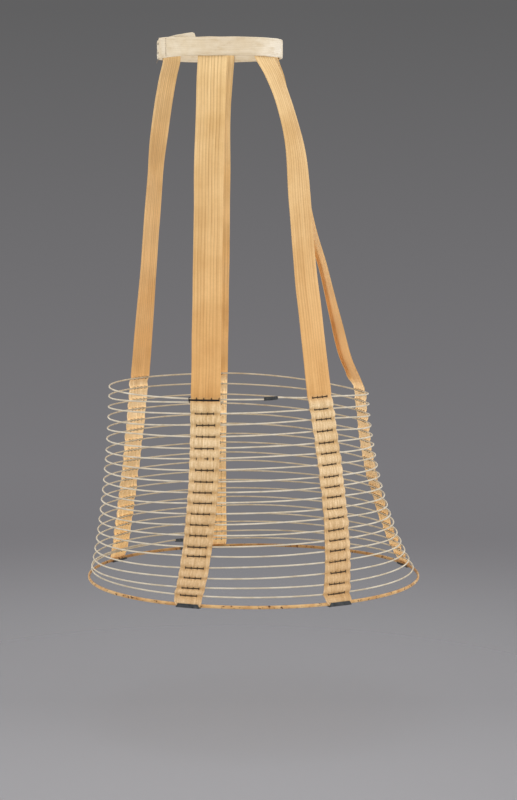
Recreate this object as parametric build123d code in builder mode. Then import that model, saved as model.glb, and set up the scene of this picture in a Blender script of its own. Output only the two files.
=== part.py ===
from math import atan2, ceil, cos, degrees, hypot, radians, sin
from pathlib import Path

from build123d import *

# Millimetres. The origin is the middle of the waistband, +Z is up, the front faces -Y and the wearer's
# left is +X. Azimuths are in degrees from the front, positive towards the wearer's left.

waist_half_width = 112.0
waist_half_depth = 90.6
band_height = 26.5
band_end_height = 30.0
band_end_angle = 60.0
band_thickness = 2.4
band_step_angle = 7.5
outer_end_azimuth = -4.0
underlap_azimuth = 50.0
underlap_depth = 5.2
underlap_rise = 6.0
shift_start_azimuth = -46.0
shift_end_azimuth = -12.0

turns = 19
upper_turn_drop = 495.8
middle_turn_drop = 638.5
lower_turn_drop = 769.8
hem_drop = 782.8
upper_turn_radius = 193.0
middle_turn_radius = 208.5
lower_turn_radius = 242.0
hem_radius = 248.0
upper_setback = 30.5
middle_setback = 36.6
lower_setback = 52.0
hem_setback = 54.0
back_sag = 14.0
back_sag_angle = 80.0

wire_thickness = 1.8
wire_height = 2.2
wire_step_angle = 9.0
lap_rise = 2.5
lap_angle = 4.5
lap_ramp_angle = 16.0
upper_joint_azimuth = 84.0
lower_joint_azimuth = -83.0
drop_start_azimuth = 107.2
drop_end_azimuth = -56.8
spiral_end_angle = 7.5

hem_thickness = 3.4
hem_height = 4.8
hem_joint_angle = 0.4
hem_joint_azimuth = -84.0

tape_width = 43.0
tape_thickness = 1.0
tape_bulge = 1.9
tape_top = 9.0
seat_gap = 0.8
band_gap = 0.75

# Each tape: azimuth at the waist, at the first turn, half way down the turns and at the hem, and its share
# of the way out to the first turn at each height of the run.
run_drops = (40.0, 90.0, 150.0, 230.0, 320.0, 400.0, 460.0)
front_run_shares = (0.12, 0.29, 0.44, 0.58, 0.71, 0.84, 0.94)
side_run_shares = (0.17, 0.40, 0.575, 0.65, 0.75, 0.87, 0.955)
back_run_shares = (0.07, 0.15, 0.24, 0.36, 0.525, 0.695, 0.845)
tapes = {
    "front_left": (65.3, 56.6, 54.6, 48.5, front_run_shares),
    "side_left": (110.5, 106.6, 108.3, 99.2, side_run_shares),
    "centre_back": (180.0, 179.5, 179.8, 180.5, back_run_shares),
    "side_right": (-110.5, -98.0, -96.5, -95.0, side_run_shares),
    "front_right": (-64.0, -57.6, -53.8, -51.2, front_run_shares),
}

stitch_length = 26.0
stitch_height = 1.1
stitch_thickness = 0.8
stitch_gap = 0.5
binding_length = 45.0
binding_height = 2.4
binding_shift = 2.0
binding_gap = 0.95

clip_length = 36.0
clip_height = 5.8
clip_lip = 3.0
clip_sheet = 0.7
clip_play = 0.35

ferrule_length = 20.0
ferrule_wall = 0.6
ferrule_play = 0.35
hem_ferrule_length = 9.5

hook_length = 11.4
hook_reach = 3.2
hook_sheet = 0.6
hook_width = 4.0
hook_bill = 3.4
hook_rows = (6.5, -6.5)
eye_wire = 0.8
eye_length = 7.0
hook_play = 0.12

parts = Path("parts")
parts.mkdir(exist_ok=True)


def outward(azimuth):
    return Vector(sin(radians(azimuth)), -cos(radians(azimuth)))


def along(azimuth):
    return Vector(cos(radians(azimuth)), sin(radians(azimuth)))


def bend(first, middle, last, share):
    curve = 2 * (first + last - 2 * middle)
    return first + (last - first - curve) * share + curve * share**2


def turn_radius(share):
    return bend(upper_turn_radius, middle_turn_radius, lower_turn_radius, share)


def turn_setback(share):
    return bend(upper_setback, middle_setback, lower_setback, share)


def turn_height(level, azimuth):
    share = level / (turns - 1)
    sag = back_sag * (1 - share) * ease(1 - abs(azimuth % 360 - 180) / back_sag_angle)
    return -bend(upper_turn_drop, middle_turn_drop, lower_turn_drop, share) - sag


def save(builder, label):
    builder.part.label = label
    export_step(builder.part, str(parts / f"{label}.step"))


# Waistband: an upright strip round an ellipse, its right end carried on inside the left end.
def waist_point(azimuth, depth):
    heading = outward(azimuth)
    reach = 1 / hypot(heading.X / waist_half_width, heading.Y / waist_half_depth)
    face = Vector(heading.X / waist_half_width**2, heading.Y / waist_half_depth**2).normalized()
    return heading * reach - face * depth, face


def ease(share):
    share = min(max(share, 0), 1)
    return share * share * (3 - 2 * share)


def band_depth(azimuth):
    return underlap_depth * ease((azimuth - 360 - shift_start_azimuth) / (shift_end_azimuth - shift_start_azimuth))


def band_tall(azimuth):
    return band_end_height + (band_height - band_end_height) * ease((azimuth - outer_end_azimuth) / band_end_angle)


with BuildPart() as waistband:
    band_travel = 360 + underlap_azimuth - outer_end_azimuth
    band_steps = ceil(band_travel / band_step_angle)
    sections = []
    for step in range(band_steps + 1):
        azimuth = outer_end_azimuth + band_travel * step / band_steps
        rise = max(azimuth - 360 - outer_end_azimuth, 0) / (underlap_azimuth - outer_end_azimuth)
        point, face = waist_point(azimuth, band_depth(azimuth) + band_thickness / 2)
        middle = Vector(point.X, point.Y, underlap_rise * rise)
        plane = Plane(middle, x_dir=face, z_dir=(-face.Y, face.X, 0))
        sections.append(Face.make_rect(band_thickness, band_tall(azimuth), plane))
    loft(sections, ruled=True, clean=False)
save(waistband, "waistband")

# Wires: the first and last turns are closed hoops. The spiral between them starts under the first at the
# front left tape, runs level from the right front round the back, drops one pitch from the left side across
# the front, and ends over the last at the front right tape.
spiral_start_azimuth = tapes["front_left"][1] + spiral_end_angle
spiral_end_azimuth = tapes["front_right"][1] - spiral_end_angle


def drop_share(azimuth):
    return ease((drop_start_azimuth - azimuth) / (drop_start_azimuth - drop_end_azimuth))


def wire_section(azimuth, level, lift):
    share = level / (turns - 1)
    face = outward(azimuth)
    middle = face * turn_radius(share) + Vector(0, turn_setback(share), turn_height(level, azimuth) + lift)
    plane = Plane(middle, x_dir=face, z_dir=(face.Y, -face.X, 0))
    return Face.make_rect(wire_thickness, wire_height, plane)


def closed_hoop(label, joint_azimuth, level):
    travel = 360 + lap_angle
    steps = ceil(travel / wire_step_angle)
    with BuildPart() as hoop:
        sections = []
        for step in range(steps + 1):
            gone = travel * step / steps
            lift = lap_rise * ease((gone - travel + lap_angle + lap_ramp_angle) / lap_ramp_angle)
            sections.append(wire_section(joint_azimuth + lap_angle / 2 - gone, level, lift))
        loft(sections, ruled=True, clean=False)
    save(hoop, label)


closed_hoop("top_hoop", upper_joint_azimuth, 0)
closed_hoop("lower_hoop", lower_joint_azimuth, turns - 1)

with BuildPart() as spiral_wire:
    spiral_travel = 360 * (turns - 2) + spiral_start_azimuth - spiral_end_azimuth
    spiral_steps = ceil(spiral_travel / wire_step_angle)
    sections = []
    for step in range(spiral_steps + 1):
        azimuth = spiral_start_azimuth - spiral_travel * step / spiral_steps
        turn = (drop_start_azimuth - azimuth) // 360
        share = drop_share(azimuth + 360 * turn)
        lift = lap_rise * share if turn == turns - 2 else 0
        sections.append(wire_section(azimuth, turn + share, lift))
    loft(sections, ruled=True, clean=False)
save(spiral_wire, "spiral_wire")


def on_turn(azimuth, radius, setback, height):
    return outward(azimuth) * radius + Vector(0, setback, height)


def sleeve(label, azimuth, radius, setback, height, length, inner_thickness, inner_height):
    face = outward(azimuth)
    middle = on_turn(azimuth, radius, setback, height)
    sag = radius * (1 - cos(radians(wire_step_angle / 2)))
    with BuildPart() as ferrule:
        with BuildSketch(Plane(middle - face * sag / 2, x_dir=face, z_dir=along(azimuth))):
            hole_thickness = inner_thickness + sag + 2 * ferrule_play
            hole_height = inner_height + 2 * ferrule_play
            Rectangle(hole_thickness + 2 * ferrule_wall, hole_height + 2 * ferrule_wall)
            Rectangle(hole_thickness, hole_height, mode=Mode.SUBTRACT)
        extrude(amount=length / 2, both=True)
    save(ferrule, label)


lapped_height = wire_height + lap_rise
sleeve("top_hoop_ferrule", upper_joint_azimuth, upper_turn_radius, upper_setback,
       turn_height(0, upper_joint_azimuth) + lap_rise / 2, ferrule_length, wire_thickness, lapped_height)
sleeve("lower_hoop_ferrule", lower_joint_azimuth, lower_turn_radius, lower_setback,
       turn_height(turns - 1, lower_joint_azimuth) + lap_rise / 2, ferrule_length, wire_thickness, lapped_height)

# Hem hoop: a thicker covered steel, its two ends meeting inside a ferrule.
with BuildPart() as hem_hoop:
    joint = Axis((0, hem_setback, 0), (0, 0, 1))
    face = outward(hem_joint_azimuth + hem_joint_angle / 2)
    middle = on_turn(hem_joint_azimuth + hem_joint_angle / 2, hem_radius, hem_setback, -hem_drop)
    with BuildSketch(Plane(middle, x_dir=face, z_dir=(face.Y, -face.X, 0))):
        Rectangle(hem_thickness, hem_height)
    revolve(axis=joint, revolution_arc=360 - hem_joint_angle)
save(hem_hoop, "hem_hoop")
sleeve("hem_ferrule", hem_joint_azimuth, hem_radius, hem_setback, -hem_drop,
       hem_ferrule_length, hem_thickness, hem_height)


# Tapes: sewn inside the band, over the hips, then down outside every turn to the hem.
def strip_outline(middle, azimuth, width, thickness, bow):
    face, side = outward(azimuth), along(azimuth)
    edge = side * width / 2 + face * -bow
    other = side * -width / 2 + face * -bow
    depth = face * -thickness
    return [middle + other, middle, middle + edge, middle + edge + depth, middle + depth, middle + other + depth]


def tape_stations(waist_azimuth, first_azimuth, middle_azimuth, hem_azimuth, run_shares):
    point, face = waist_point(waist_azimuth, band_thickness + band_gap)
    waist_face = degrees(atan2(face.X, -face.Y))
    waist_bow = tape_width**2 / (8 * waist_half_depth)
    outer = wire_thickness / 2 + seat_gap + tape_thickness
    first = on_turn(first_azimuth, upper_turn_radius + outer, upper_setback, 0)
    first_bow = tape_width**2 / (8 * upper_turn_radius)
    yield tape_top, point, waist_face, waist_bow
    yield -band_height / 2, point, waist_face, waist_bow
    for drop, share in zip(run_drops, run_shares):
        middle = point * (1 - share) + first * share
        yield -drop, middle, waist_face + (first_azimuth - waist_face) * share**2, \
            waist_bow + (first_bow - waist_bow) * share
    yield turn_height(0, first_azimuth) + 2 * wire_height, first, first_azimuth, first_bow
    for half in range(2 * turns - 1):
        level = half / 2
        azimuth = bend(first_azimuth, middle_azimuth, hem_azimuth, level / (turns - 1))
        if 0 < half < 2 * turns - 2:
            level += (drop_share(azimuth) + 0.5) % 1 - 0.5 if abs(azimuth) < drop_start_azimuth else 0
        share = level / (turns - 1)
        radius = turn_radius(share) + outer + (tape_bulge if half % 2 else 0)
        middle = on_turn(azimuth, radius, turn_setback(share), 0)
        yield turn_height(level, azimuth), middle, azimuth, tape_width**2 / (8 * radius)
    radius = hem_radius + hem_thickness / 2 + seat_gap + tape_thickness
    middle = on_turn(hem_azimuth, radius, hem_setback, 0)
    yield -hem_drop + hem_height / 2, middle, hem_azimuth, tape_width**2 / (8 * radius)
    yield -hem_drop - hem_height / 2, middle, hem_azimuth, tape_width**2 / (8 * radius)


for name, layout in tapes.items():
    stations = list(tape_stations(*layout))
    with BuildPart() as tape:
        for height, middle, azimuth, bow in stations:
            with BuildSketch(Plane.XY.offset(height)):
                with BuildLine():
                    Polyline(*strip_outline(middle, azimuth, tape_width, tape_thickness, bow), close=True)
                make_face()
        loft(ruled=True, clean=False)
    save(tape, f"{name}_tape")

    # Stitching: one dark run over each turn, on the outside of the tape.
    seats = stations[3 + len(run_drops):-2:2]
    bound = 1 if name == "front_left" else 0
    with BuildPart() as stitching:
        for height, middle, azimuth, bow in seats[bound:]:
            out = middle + outward(azimuth) * (stitch_gap + stitch_thickness)
            with BuildSketch(Plane.XY.offset(height)):
                with BuildLine():
                    Polyline(*strip_outline(out, azimuth, stitch_length, stitch_thickness,
                                            bow * stitch_length / tape_width), close=True)
                make_face()
        extrude(amount=stitch_height / 2, both=True)
    save(stitching, f"{name}_stitching")

    # Hem clip: folded sheet closed over the hoop and the tape's lower end.
    _, middle, azimuth, bow = stations[-1]
    face = outward(azimuth)
    inner_side = hem_radius - hem_thickness / 2 - clip_length**2 / (8 * hem_radius) - clip_play
    outer_side = hem_radius + hem_thickness / 2 + seat_gap + tape_thickness + clip_play
    floor = -hem_drop - hem_height / 2 - clip_play
    with BuildPart() as clip:
        middle = on_turn(azimuth, (inner_side + outer_side) / 2, hem_setback, floor - clip_sheet)
        with BuildSketch(Plane(middle, x_dir=face, z_dir=along(azimuth) * -1)):
            Rectangle(outer_side - inner_side + 2 * clip_sheet, clip_height, align=(Align.CENTER, Align.MIN))
            with Locations((0, clip_sheet)):
                Rectangle(outer_side - inner_side, clip_height, align=(Align.CENTER, Align.MIN),
                          mode=Mode.SUBTRACT)
            with Locations(((inner_side - outer_side) / 2 - clip_sheet, clip_lip)):
                Rectangle(clip_sheet, clip_height, align=(Align.MIN, Align.MIN), mode=Mode.SUBTRACT)
        extrude(amount=clip_length / 2, both=True)
    save(clip, f"{name}_clip")

# Lap binding: black thread across the front left tape, where the spiral starts under the top hoop.
height, middle, azimuth, bow = list(tape_stations(*tapes["front_left"]))[3 + len(run_drops)]
with BuildPart() as lap_binding:
    out = middle + outward(azimuth) * (binding_gap + stitch_thickness) - along(azimuth) * binding_shift
    with BuildSketch(Plane.XY.offset(height - lap_rise / 2)):
        with BuildLine():
            Polyline(*strip_outline(out, azimuth, binding_length, stitch_thickness, bow), close=True)
        make_face()
    extrude(amount=binding_height / 2, both=True)
save(lap_binding, "lap_binding")

# Hooks under the band's outer end, and the eyes they hold on the underlap.
end_point, _ = waist_point(outer_end_azimuth, band_thickness)
next_point, _ = waist_point(outer_end_azimuth + band_travel / band_steps, band_thickness)
end_side = (next_point - end_point).normalized()
hook_plane = Plane(end_point, x_dir=end_side, z_dir=(0, 0, 1))
with BuildPart() as hooks:
    for row in hook_rows:
        with BuildSketch(hook_plane.offset(row)):
            depth = 2 * hook_sheet + eye_wire + 2 * hook_play
            with Locations(((hook_length - hook_reach) / 2, hook_sheet / 2 + hook_play)):
                Rectangle(hook_length + hook_reach, hook_sheet)
            with Locations((-hook_reach + hook_sheet / 2, depth / 2 + hook_play)):
                Rectangle(hook_sheet, depth)
            with Locations((-hook_reach + hook_bill / 2, depth + hook_play - hook_sheet / 2)):
                Rectangle(hook_bill, hook_sheet)
        extrude(amount=hook_width / 2, both=True)
save(hooks, "front_hooks")

with BuildPart() as eyes:
    bar_depth = hook_sheet + 2 * hook_play + eye_wire / 2
    seat_depth = underlap_depth - band_thickness - hook_play - eye_wire / 2
    bar_side = -hook_reach + hook_sheet + hook_play + eye_wire / 2
    for row in hook_rows:
        foot = (bar_depth + seat_depth) / 2
        for end, size, place in ((0, (eye_wire, eye_wire, eye_length), bar_depth),
                                 (1, (eye_wire, seat_depth - bar_depth + eye_wire, eye_wire), foot),
                                 (-1, (eye_wire, seat_depth - bar_depth + eye_wire, eye_wire), foot)):
            spot = hook_plane.from_local_coords((bar_side, place, row + end * (eye_length - eye_wire) / 2))
            with Locations(Plane(spot, x_dir=end_side, z_dir=(0, 0, 1))):
                Box(*size)
save(eyes, "front_eyes")
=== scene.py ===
import math
import random

import bmesh
import bpy
from mathutils import Matrix, Vector, noise


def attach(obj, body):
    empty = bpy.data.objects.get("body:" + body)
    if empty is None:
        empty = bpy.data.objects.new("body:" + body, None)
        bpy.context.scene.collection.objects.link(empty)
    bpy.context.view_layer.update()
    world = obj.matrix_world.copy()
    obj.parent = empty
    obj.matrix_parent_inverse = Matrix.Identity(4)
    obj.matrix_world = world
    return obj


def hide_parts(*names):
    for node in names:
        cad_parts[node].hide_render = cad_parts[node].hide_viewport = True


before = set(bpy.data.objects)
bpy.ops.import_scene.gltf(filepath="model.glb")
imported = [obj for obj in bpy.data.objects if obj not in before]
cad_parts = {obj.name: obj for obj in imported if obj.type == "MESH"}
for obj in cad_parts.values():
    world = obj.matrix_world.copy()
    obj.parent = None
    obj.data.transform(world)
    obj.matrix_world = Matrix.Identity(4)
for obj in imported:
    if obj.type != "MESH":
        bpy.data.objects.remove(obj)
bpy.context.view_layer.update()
print("frame:", len(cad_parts), "nodes")

# the cage's own sizes, in metres and degrees, shared by wires, tapes and fittings
# azimuths run from the front, positive towards the wearer's left
cage = {
    "turns": 19,
    "drops": (0.4958, 0.6385, 0.7698),  # of the first, middle and last turn, as are the next two
    "radii": (0.193, 0.2085, 0.242),
    "setbacks": (0.0305, 0.0366, 0.052),
    "hemDrop": 0.7828, "hemRadius": 0.248, "hemSetback": 0.054,
    "waist": (0.112, 0.0906),
    "fallStart": 107.2, "fallEnd": -56.8,  # each turn drops by one pitch between these
    "sag": 0.014, "sagAngle": 80.0,
    "uneven": 0.0022, "unevenRound": 1.3, "unevenDown": 0.8,
    "tapeWidth": 0.043, "tapeLength": 0.86, "bandLength": 0.73,
}
lastLevel = cage["turns"] - 1


def outward(azimuth):
    a = math.radians(azimuth)
    return Vector((math.sin(a), -math.cos(a), 0))


def along(azimuth):
    a = math.radians(azimuth)
    return Vector((math.cos(a), math.sin(a), 0))


def bend(values, share):
    first, middle, last = values
    curve = 2 * (first + last - 2 * middle)
    return first + (last - first - curve) * share + curve * share * share


def ease(share):
    share = min(max(share, 0), 1)
    return share * share * (3 - 2 * share)


def rounded(value, power):
    # a sine or cosine pushed out towards a square corner
    return math.copysign(abs(value) ** power, value)


def fallShare(azimuth):
    return ease((cage["fallStart"] - azimuth) / (cage["fallStart"] - cage["fallEnd"]))


def turnPoint(azimuth, level, out=0.0):
    # a point on the turns: they hang low at the back, and were spaced by hand
    share = level / lastLevel
    around = outward(azimuth)
    sag = cage["sag"] * (1 - share) * ease(1 - abs(azimuth % 360 - 180) / cage["sagAngle"])
    wide, tall = cage["unevenRound"], cage["unevenDown"]
    spot = Vector((wide * around.x, wide * around.y, tall * level))
    uneven = cage["uneven"] * noise.noise(spot) * ease(level) * ease(lastLevel - level)
    middle = Vector((0, bend(cage["setbacks"], share), uneven - sag - bend(cage["drops"], share)))
    return around * (bend(cage["radii"], share) + out) + middle


def hemPoint(azimuth, out=0.0, up=0.0):
    middle = Vector((0, cage["hemSetback"], up - cage["hemDrop"]))
    return outward(azimuth) * (cage["hemRadius"] + out) + middle


def waistPoint(azimuth, depth):
    heading = outward(azimuth)
    a, b = cage["waist"]
    reach = 1 / math.hypot(heading.x / a, heading.y / b)
    face = Vector((heading.x / a ** 2, heading.y / b ** 2, 0)).normalized()
    return heading * reach - face * depth, face


def shown(name, mesh, material):
    mesh.materials.append(material)
    piece = bpy.data.objects.new(name, mesh)
    bpy.context.collection.objects.link(piece)
    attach(piece, "root")
    return piece


def wrapGrid(name, cols, rows, place, size, closed, material):
    # a flat grid with its UVs in metres, laid onto the place function
    bm = bmesh.new()
    uv = bm.loops.layers.uv.new("cloth")
    bmesh.ops.create_grid(bm, x_segments=cols, y_segments=rows, size=0.5)
    for face in bm.faces:
        face.smooth = True
        for loop in face.loops:
            loop[uv].uv = ((loop.vert.co.x + 0.5) * size[0], (loop.vert.co.y + 0.5) * size[1])
    for vert in bm.verts:
        vert.co = place(vert.co.x + 0.5, vert.co.y + 0.5)
    if closed:
        bmesh.ops.remove_doubles(bm, verts=bm.verts, dist=1e-6)
        rims = [edge for edge in bm.edges if edge.is_boundary]
        bmesh.ops.holes_fill(bm, edges=rims, sides=0)
    bmesh.ops.recalc_face_normals(bm, faces=bm.faces)
    mesh = bpy.data.meshes.new(name)
    bm.to_mesh(mesh)
    bm.free()
    return shown(name, mesh, material)


def threadRun(name, runs, radius, material, rounding=2, steps=3):
    # open runs of thread or bent wire, a place and a girth at each point, as a bevelled curve made a mesh
    curve = bpy.data.curves.new(name + "Line", "CURVE")
    curve.dimensions = "3D"
    curve.bevel_depth = radius
    curve.bevel_resolution = rounding
    curve.resolution_u = steps
    curve.use_fill_caps = True
    for points in runs:
        spline = curve.splines.new("NURBS")
        spline.points.add(len(points) - 1)
        for point, (place, girth) in zip(spline.points, points):
            point.co = (*place, 1)
            point.radius = girth
        spline.order_u = 3
        spline.use_endpoint_u = True
    line = bpy.data.objects.new(name + "Line", curve)
    mesh = bpy.data.meshes.new_from_object(line)
    bpy.data.objects.remove(line)
    bpy.data.curves.remove(curve)
    mesh.name = name
    mesh.materials.clear()
    mesh.shade_smooth()
    return shown(name, mesh, material)


def thicken(piece, thickness, offset=0.0, inside=0):
    shell = piece.modifiers.new("thickness", "SOLIDIFY")
    shell.thickness = thickness
    shell.offset = offset
    shell.material_offset = inside


class Finish:
    # a small helper around one material's nodes
    def __init__(self, name, roughness, metallic=0.0, sheen=0.0, gloss=0.5):
        self.material = bpy.data.materials.new(name)
        self.material.use_nodes = True
        self.nodes = self.material.node_tree.nodes
        self.links = self.material.node_tree.links
        self.shader = self.nodes["Principled BSDF"]
        self.shader.inputs["Roughness"].default_value = roughness
        self.shader.inputs["Metallic"].default_value = metallic
        self.shader.inputs["Sheen Weight"].default_value = sheen
        self.shader.inputs["Specular IOR Level"].default_value = gloss
        self.coord = self.nodes.new("ShaderNodeTexCoord")

    def fill(self, socket, value):
        if isinstance(value, (int, float)):
            socket.default_value = value
        elif isinstance(value, tuple):
            socket.default_value = (*value, 1) if len(value) == 3 and socket.type == "RGBA" else value
        else:
            self.links.new(value, socket)

    def place(self, source, scale=(1, 1, 1), turn=0.0, shift=(0, 0, 0)):
        node = self.nodes.new("ShaderNodeMapping")
        node.inputs["Scale"].default_value = scale
        node.inputs["Rotation"].default_value = (0, 0, turn)
        node.inputs["Location"].default_value = shift
        self.links.new(self.coord.outputs[source], node.inputs["Vector"])
        return node.outputs["Vector"]

    def axis(self, source, letter):
        node = self.nodes.new("ShaderNodeSeparateXYZ")
        self.links.new(self.coord.outputs[source], node.inputs[0])
        return node.outputs[letter]

    def noise(self, vector, scale, detail=4.0, roughness=0.55):
        node = self.nodes.new("ShaderNodeTexNoise")
        node.inputs["Scale"].default_value = scale
        node.inputs["Detail"].default_value = detail
        node.inputs["Roughness"].default_value = roughness
        self.links.new(vector, node.inputs["Vector"])
        return node.outputs["Fac"]

    def threads(self, vector, spacing, axis, waver=0.0):
        # even bands, one per spacing in metres
        node = self.nodes.new("ShaderNodeTexWave")
        node.bands_direction = axis
        node.inputs["Scale"].default_value = math.pi / 10 / spacing
        node.inputs["Distortion"].default_value = waver
        node.inputs["Detail Scale"].default_value = 0.4
        self.links.new(vector, node.inputs["Vector"])
        return node.outputs["Fac"]

    def ramp(self, source, stops, mode="LINEAR"):
        node = self.nodes.new("ShaderNodeValToRGB")
        node.color_ramp.interpolation = mode
        while len(node.color_ramp.elements) < len(stops):
            node.color_ramp.elements.new(0.5)
        for element, (place, colour) in zip(node.color_ramp.elements, stops):
            element.position = place
            element.color = (*colour, 1) if isinstance(colour, tuple) else (colour, colour, colour, 1)
        self.links.new(source, node.inputs["Fac"])
        return node.outputs["Color"]

    def mix(self, share, a, b, blend="MIX"):
        node = self.nodes.new("ShaderNodeMix")
        node.data_type = "RGBA"
        node.blend_type = blend
        for index, value in ((0, share), (6, a), (7, b)):
            self.fill(node.inputs[index], value)
        return node.outputs[2]

    def tint(self, a, b):
        return self.mix(1.0, a, b, "MULTIPLY")

    def math(self, operation, a, b=0.0):
        node = self.nodes.new("ShaderNodeMath")
        node.operation = operation
        self.fill(node.inputs[0], a)
        self.fill(node.inputs[1], b)
        return node.outputs[0]

    def colour(self, source):
        self.links.new(source, self.shader.inputs["Base Color"])

    def bump(self, height, strength, distance):
        node = self.nodes.new("ShaderNodeBump")
        node.inputs["Strength"].default_value = strength
        node.inputs["Distance"].default_value = distance
        self.links.new(height, node.inputs["Height"])
        self.links.new(node.outputs["Normal"], self.shader.inputs["Normal"])


# each list of pairs below is a ramp: a place from 0 to 1, and a tone, a tint or an amount
plain = (1.0, 1.0, 1.0)
tapeLook = {
    "fullDrop": 0.8,
    # by drop: pale at the waist, golden down to the first wire, paler where it is gathered
    "tones": [
        (0.0, (0.75, 0.55, 0.29)), (0.3, (0.69, 0.46, 0.22)), (0.55, (0.68, 0.405, 0.168)),
        (0.615, (0.68, 0.405, 0.168)), (0.632, (0.775, 0.61, 0.39)), (1.0, (0.61, 0.42, 0.232)),
    ],
    "streakScale": (420, 9, 1), "streaks": [(0.32, (0.86, 0.81, 0.74)), (0.66, (1.05, 1.05, 1.04))],
    "yellowScale": 13.0, "yellowing": [(0.34, (0.90, 0.84, 0.74)), (0.60, (1.04, 1.04, 1.04))],
    "line": (0.30, 0.145, 0.045), "lineSpacing": 0.0046,
    "lineMargin": [(0.13, 0.0), (0.16, 1.0), (0.84, 1.0), (0.87, 0.0)],
    "lineWidth": [(0.0, 1.0), (0.10, 0.85), (0.30, 0.0)],
    "lineFade": [(0.0, 0.50), (0.40, 0.46), (0.60, 0.24), (0.64, 0.14), (1.0, 0.16)],
    "breakScale": (260, 22, 1), "lineBreaks": [(0.32, 0.35), (0.62, 1.0)],
    "gathered": [(0.610, 0.15), (0.632, 0.85)],
    # swell, crepe and pleats are painted light and shade: a painted highlight at mid-bulge, painted shade
    # and highlight in the small creases and pleats
    "firstRow": 0.258, "rowPitch": 0.03225, "swell": (1.07, 1.08, 1.11),
    "crepeScale": (240, 900, 1), "crepe": [(0.34, (0.82, 0.77, 0.70)), (0.64, (1.14, 1.16, 1.18))],
    "pleatScale": (430, 45, 1), "pleatShift": (0.4, 0, 0),
    "pleats": [(0.36, (0.89, 0.83, 0.74)), (0.60, (1.05, 1.06, 1.08))],
    "selvedge": [(0.0, (1.07, 1.06, 1.04)), (0.035, plain), (0.965, plain), (1.0, (1.07, 1.06, 1.04))],
    "thread": 0.00062, "weft": 1.25, "waver": 0.3, "warpShare": 0.85,
    "weave": [(0.15, (0.84, 0.81, 0.77)), (0.85, (1.05, 1.05, 1.05))],
    "behind": (0.08, 0.16),  # between these depths the run comes to the back
}
# seat: tint where a wire lies, painted shade on the outside and painted light on the inside; the ramp by
# drop puts painted light below the first wire
# behind: painted light on the run where it comes to the back
tapeSides = {
    "outside": {"seat": (0.84, 0.76, 0.64), "paintedLightBelow": [(0.0, 1.0), (1.0, 1.0)], "behind": plain},
    # the inner face gets painted light that lifts its shade, plain on the outside
    "inside": {
        "seat": (1.50, 1.50, 1.46), "behind": (1.18, 1.17, 1.16),
        "paintedLightBelow": [
            (0.632, (1.06, 1.02, 0.95)), (0.70, (1.24, 1.21, 1.13)), (0.83, (1.22, 1.20, 1.10)),
            (0.90, (1.55, 1.52, 1.33)), (1.0, (1.72, 1.68, 1.42)),
        ],
    },
}


def tapeFinish(name, side):
    f = Finish(name, roughness=0.85, sheen=0.12, gloss=0.12)
    look = tapeLook
    drop = f.math("DIVIDE", f.axis("Object", "Z"), -look["fullDrop"])
    across = f.math("DIVIDE", f.axis("UV", "X"), cage["tapeWidth"])
    # long soft streaks along the warp, and broad yellowing
    streak = f.ramp(f.noise(f.place("UV", look["streakScale"]), 1.0, 3.0), look["streaks"])
    yellow = f.ramp(f.noise(f.place("Object"), look["yellowScale"], 4.0), look["yellowing"])
    toned = f.tint(f.tint(f.ramp(drop, look["tones"]), streak), yellow)
    # fine brown warp lines, off the plain margins, faint where the tape is gathered
    lines = f.threads(f.place("UV", shift=(-cage["tapeWidth"] / 2, 0, 0)), look["lineSpacing"], "X")
    thin = f.ramp(lines, look["lineWidth"])
    inside = f.ramp(across, look["lineMargin"])
    fade = f.ramp(drop, look["lineFade"])
    broken = f.ramp(f.noise(f.place("UV", look["breakScale"]), 1.0, 3.0), look["lineBreaks"])
    amount = f.math("MULTIPLY", f.math("MULTIPLY", thin, inside), f.math("MULTIPLY", fade, broken))
    lined = f.mix(amount, toned, look["line"])
    # small cross creases, slubs and pleats where the tape is gathered between the stitches, with painted
    # shade and highlight: painted shade at each stitched row, a painted highlight at mid-bulge, painted
    # shade and highlight in the creases and pleats
    gathered = f.ramp(drop, look["gathered"])
    rows = f.threads(f.place("UV", shift=(0, -look["firstRow"], 0)), look["rowPitch"], "Y")
    crepe = f.noise(f.place("UV", look["crepeScale"]), 1.0, 4.0, 0.65)
    pleatShadeNoise = f.noise(f.place("UV", look["pleatScale"], shift=look["pleatShift"]), 1.0, 3.0, 0.6)
    # painted shade at each stitched row and a painted highlight at mid-bulge, times painted crease and pleat
    # shading
    paintedPuffShade = f.tint(f.ramp(rows, [(0.0, side["seat"]), (0.75, look["swell"])]), f.ramp(crepe, look["crepe"]))
    paintedPuffShade = f.tint(paintedPuffShade, f.ramp(pleatShadeNoise, look["pleats"]))
    lined = f.mix(gathered, lined, f.tint(lined, paintedPuffShade))
    # the woven selvedge and the threads themselves
    warp = f.threads(f.place("UV"), look["thread"], "X", look["waver"])
    weft = f.threads(f.place("UV"), look["thread"] * look["weft"], "Y", look["waver"])
    weave = f.math("MAXIMUM", f.math("MULTIPLY", warp, look["warpShare"]), weft)
    woven = f.tint(f.tint(lined, f.ramp(across, look["selvedge"])), f.ramp(weave, look["weave"]))
    # painted light that lifts the inner face's shade: on the run only at the back, below the first wire by
    # drop
    first, full = look["behind"]
    onRun = f.tint(woven, f.ramp(f.axis("Object", "Y"), [(first, plain), (full, side["behind"])]))
    f.colour(f.mix(gathered, onRun, f.tint(woven, f.ramp(drop, side["paintedLightBelow"]))))
    f.bump(f.math("ADD", weave, f.math("MULTIPLY", crepe, gathered)), 0.5, 0.0003)
    return f.material


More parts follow.
